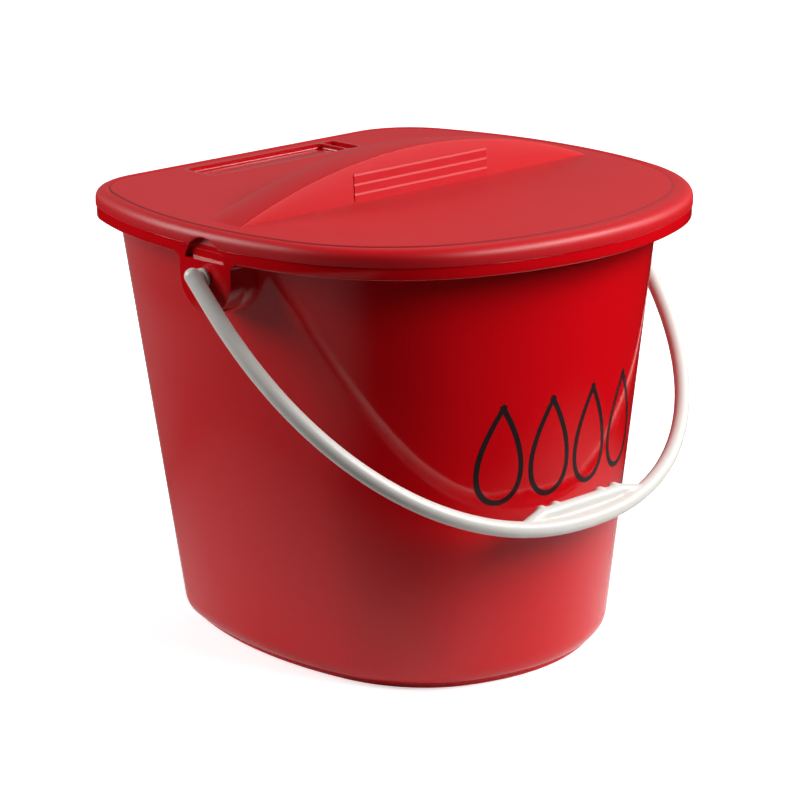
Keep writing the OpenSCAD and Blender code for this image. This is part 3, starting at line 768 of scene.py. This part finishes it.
# Greyer on the left, between 0.08 m and 0.66 m from the middle
leftward = add_node(card, "ShaderNodeVectorMath", {"operation": "DOT_PRODUCT", 1: LEFT},
                    {0: place.outputs["Object"]})
left_start = add_node(card, "ShaderNodeMapRange",
                      {"interpolation_type": "SMOOTHSTEP", "From Min": 0.08, "From Max": 0.3,
                       "To Max": 0.3}, {"Value": leftward.outputs["Value"]})
left_end = add_node(card, "ShaderNodeMapRange",
                    {"interpolation_type": "SMOOTHSTEP", "From Min": 0.66, "From Max": 0.48,
                     "To Max": 0.3}, {"Value": leftward.outputs["Value"]})
left_part = add_node(card, "ShaderNodeMath", {"operation": "MINIMUM"},
                     {0: left_start.outputs["Result"], 1: left_end.outputs["Result"]})
white_part = add_node(card, "ShaderNodeMath", {"operation": "MAXIMUM"},
                      {0: near_part.outputs["Result"], 1: left_part.outputs[0]})
# White all over to the camera, and a little to diffuse light
bounce = add_node(card, "ShaderNodeMath", {"operation": "MULTIPLY_ADD", 1: BOUNCE},
                  {0: path.outputs["Is Diffuse Ray"], 2: path.outputs["Is Camera Ray"]})
seen = add_node(card, "ShaderNodeMath", {"operation": "MAXIMUM"},
                {0: white_part.outputs[0], 1: bounce.outputs[0]})
dark = add_node(card, "ShaderNodeBsdfDiffuse", {"Color": (0.01, 0.01, 0.01, 1)}, {})
body = add_node(card, "ShaderNodeMixShader", {},
                {0: seen.outputs[0], 1: dark.outputs[0],
                 2: card.node_tree.nodes["Principled BSDF"].outputs[0]})
# Seen by the camera, it is white also where the soft boxes don't reach
far = add_node(card, "ShaderNodeVectorMath", {"operation": "LENGTH"},
               {0: place.outputs["Object"]})
lift = add_node(card, "ShaderNodeMapRange",
                {"interpolation_type": "SMOOTHSTEP", "From Min": 0.15, "From Max": 0.8,
                 "To Min": 0.55, "To Max": 1.0}, {"Value": far.outputs["Value"]})
glow = add_node(card, "ShaderNodeMath", {"operation": "MULTIPLY"},
                {0: lift.outputs["Result"], 1: path.outputs["Is Camera Ray"]})
white_glow = add_node(card, "ShaderNodeEmission", {"Color": (1, 1, 1, 1)},
                      {"Strength": glow.outputs[0]})
both = add_node(card, "ShaderNodeAddShader", {}, {0: body.outputs[0], 1: white_glow.outputs[0]})
card.node_tree.links.new(both.outputs[0], card.node_tree.nodes["Material Output"].inputs["Surface"])
floor.data.materials.append(card)


# ---- Backdrop and soft boxes ----
# A backdrop that the camera sees as white. In the bucket's gloss it is a dim glow, brightest
# behind the bucket and gone in front of it. Four square soft boxes light the object.
world = bpy.data.worlds.new("studio")
bpy.context.scene.world = world
world.use_nodes = True
looking = add_node(world, "ShaderNodeTexCoord", {}, {})
behind = add_node(world, "ShaderNodeVectorMath", {"operation": "DOT_PRODUCT", 1: AWAY},
                  {0: looking.outputs["Generated"]})
backdrop = add_node(world, "ShaderNodeMapRange",
                    {"interpolation_type": "SMOOTHSTEP", "From Min": -0.2, "From Max": 0.7,
                     "To Min": 0.0, "To Max": 0.28}, {"Value": behind.outputs["Value"]})
studio = world.node_tree.nodes["Background"]
studio.inputs["Color"].default_value = (1, 1, 1, 1)
world.node_tree.links.new(backdrop.outputs["Result"], studio.inputs["Strength"])
sky = add_node(world, "ShaderNodeBackground", {"Color": (1, 1, 1, 1), "Strength": 1.0}, {})
rays = add_node(world, "ShaderNodeLightPath", {}, {})
mixed = add_node(world, "ShaderNodeMixShader", {},
                 {0: rays.outputs["Is Camera Ray"], 1: studio.outputs[0], 2: sky.outputs[0]})
world.node_tree.links.new(mixed.outputs[0], world.node_tree.nodes["World Output"].inputs["Surface"])

# Two large ones in front on the right, a weak one further round, and one behind on the left.
# Each has its place and width in metres and its power in watts.
LIT = Vector((0, 0, 0.1))
for spot, width, power in (((0.8, -0.8, 1.0), 0.5, 11), ((0.3, -1.1, 0.9), 0.6, 12),
                           ((1.1, -0.6, 0.6), 0.6, 3), ((-0.95, 0.95, 0.8), 0.8, 17)):
    bpy.ops.object.light_add(type="AREA", location=spot)
    lamp = bpy.context.object
    lamp.data.size = width
    lamp.data.energy = power
    lamp.rotation_euler = (LIT - lamp.location).to_track_quat("-Z", "Y").to_euler()


# ---- Camera ----
# A long lens, about 1.7 m away in front on the left and a little above the bucket.
AZIMUTH, ELEVATION, DISTANCE = math.radians(-44.91), math.radians(16.09), 1699.7 * MM
target = Vector((-12.5, -0.2, 133.8)) * MM
back_way = Vector((math.sin(AZIMUTH) * math.cos(ELEVATION),
                   -math.cos(AZIMUTH) * math.cos(ELEVATION), math.sin(ELEVATION)))
bpy.ops.object.camera_add(location=target + DISTANCE * back_way,
                          rotation=(math.pi / 2 - ELEVATION, 0, AZIMUTH))
camera = bpy.context.object
camera.data.sensor_width = 36
camera.data.lens = 139.6
bpy.context.scene.camera = camera
bpy.context.scene.view_settings.view_transform = "Standard"
